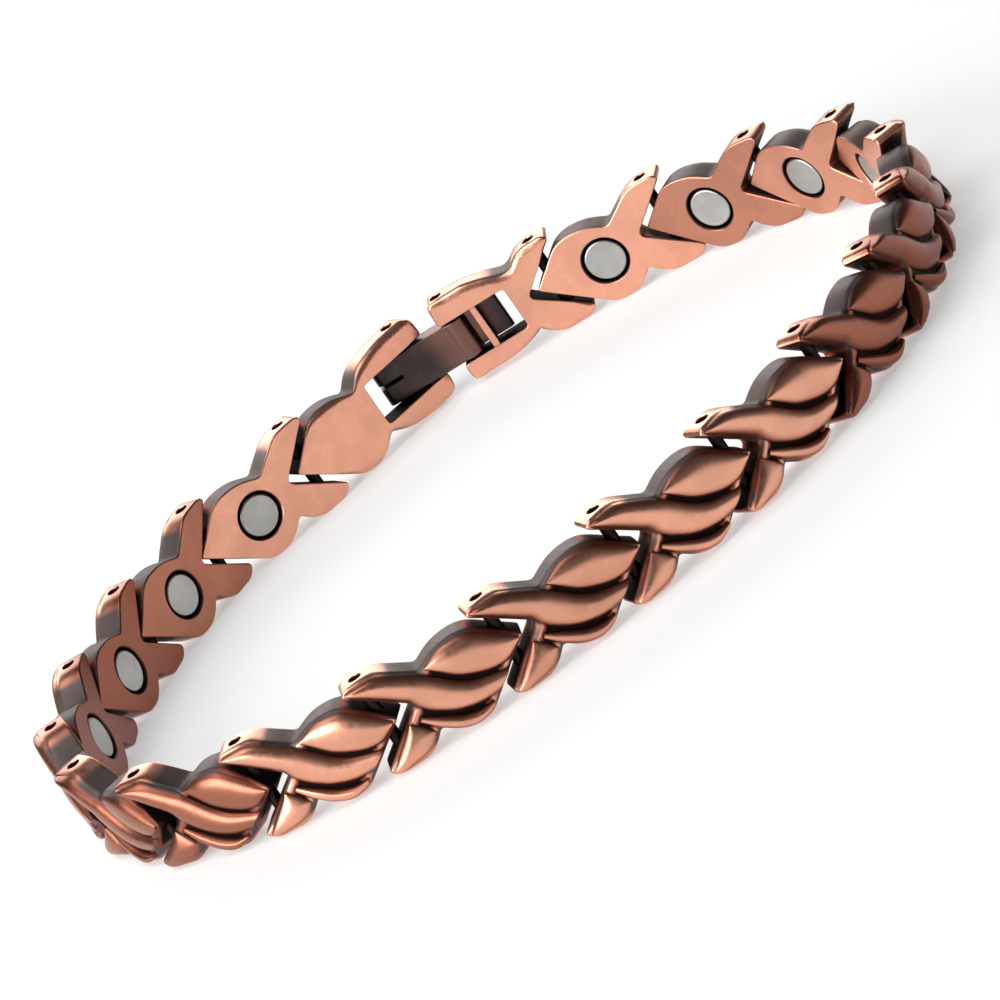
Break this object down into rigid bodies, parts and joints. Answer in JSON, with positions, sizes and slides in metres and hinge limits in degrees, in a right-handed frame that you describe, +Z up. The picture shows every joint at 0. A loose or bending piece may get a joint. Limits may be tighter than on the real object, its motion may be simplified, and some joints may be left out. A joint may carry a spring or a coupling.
{
  "type": "copper link bracelet",
  "caption": "Closed cast link bracelet with twisted-leaf links, round magnets in their inner faces and a fold-over blade clasp, standing on its edge.",
  "frame": {"origin": "middle of the closed loop, on the surface that the bracelet stands on", "axes": "+X along the loop's long way, +Y across it towards the clasp, +Z up, which is across the band"},
  "size_m": [0.077, 0.0668, 0.0075],
  "materials": {
    "copper": "antiqued copper, satin crowns with dark recesses",
    "magnet": "nickel-plated, matte",
    "pin": "dark oxidised copper",
    "blade": "dark bronze, satin"
  },
  "bodies": {
    "chain": {"link_01": "copper", "link_02": "copper", "link_03": "copper", "link_04": "copper", "link_05": "copper", "link_06": "copper", "link_07": "copper", "link_08": "copper", "link_09": "copper", "link_10": "copper", "link_11": "copper", "link_12": "copper", "link_13": "copper", "link_14": "copper", "link_15": "copper", "link_16": "copper", "link_17": "copper", "link_18": "copper", "link_19": "copper", "magnet_01": "magnet", "magnet_02": "magnet", "magnet_03": "magnet", "magnet_04": "magnet", "magnet_05": "magnet", "magnet_06": "magnet", "magnet_07": "magnet", "magnet_08": "magnet", "magnet_09": "magnet", "magnet_10": "magnet", "magnet_11": "magnet", "magnet_12": "magnet", "magnet_13": "magnet", "magnet_14": "magnet", "magnet_15": "magnet", "magnet_16": "magnet", "magnet_17": "magnet", "magnet_18": "magnet", "magnet_19": "magnet", "clasp_nose_link": "copper", "clasp_tail_link": "copper", "nose_fork_pin": "pin", "tail_fork_pin": "pin", "hinge_pins": "pin"},
    "blade": {"clasp_blade": "blade"}
  },
  "joints": [
    {"name": "blade_hinge", "type": "hinge", "parent": "chain", "child": "blade", "pos_m": [0.00375, 0.03072, 0.00375], "axis": [0, 0, 1], "range_deg": [0, 110]}
  ]
}
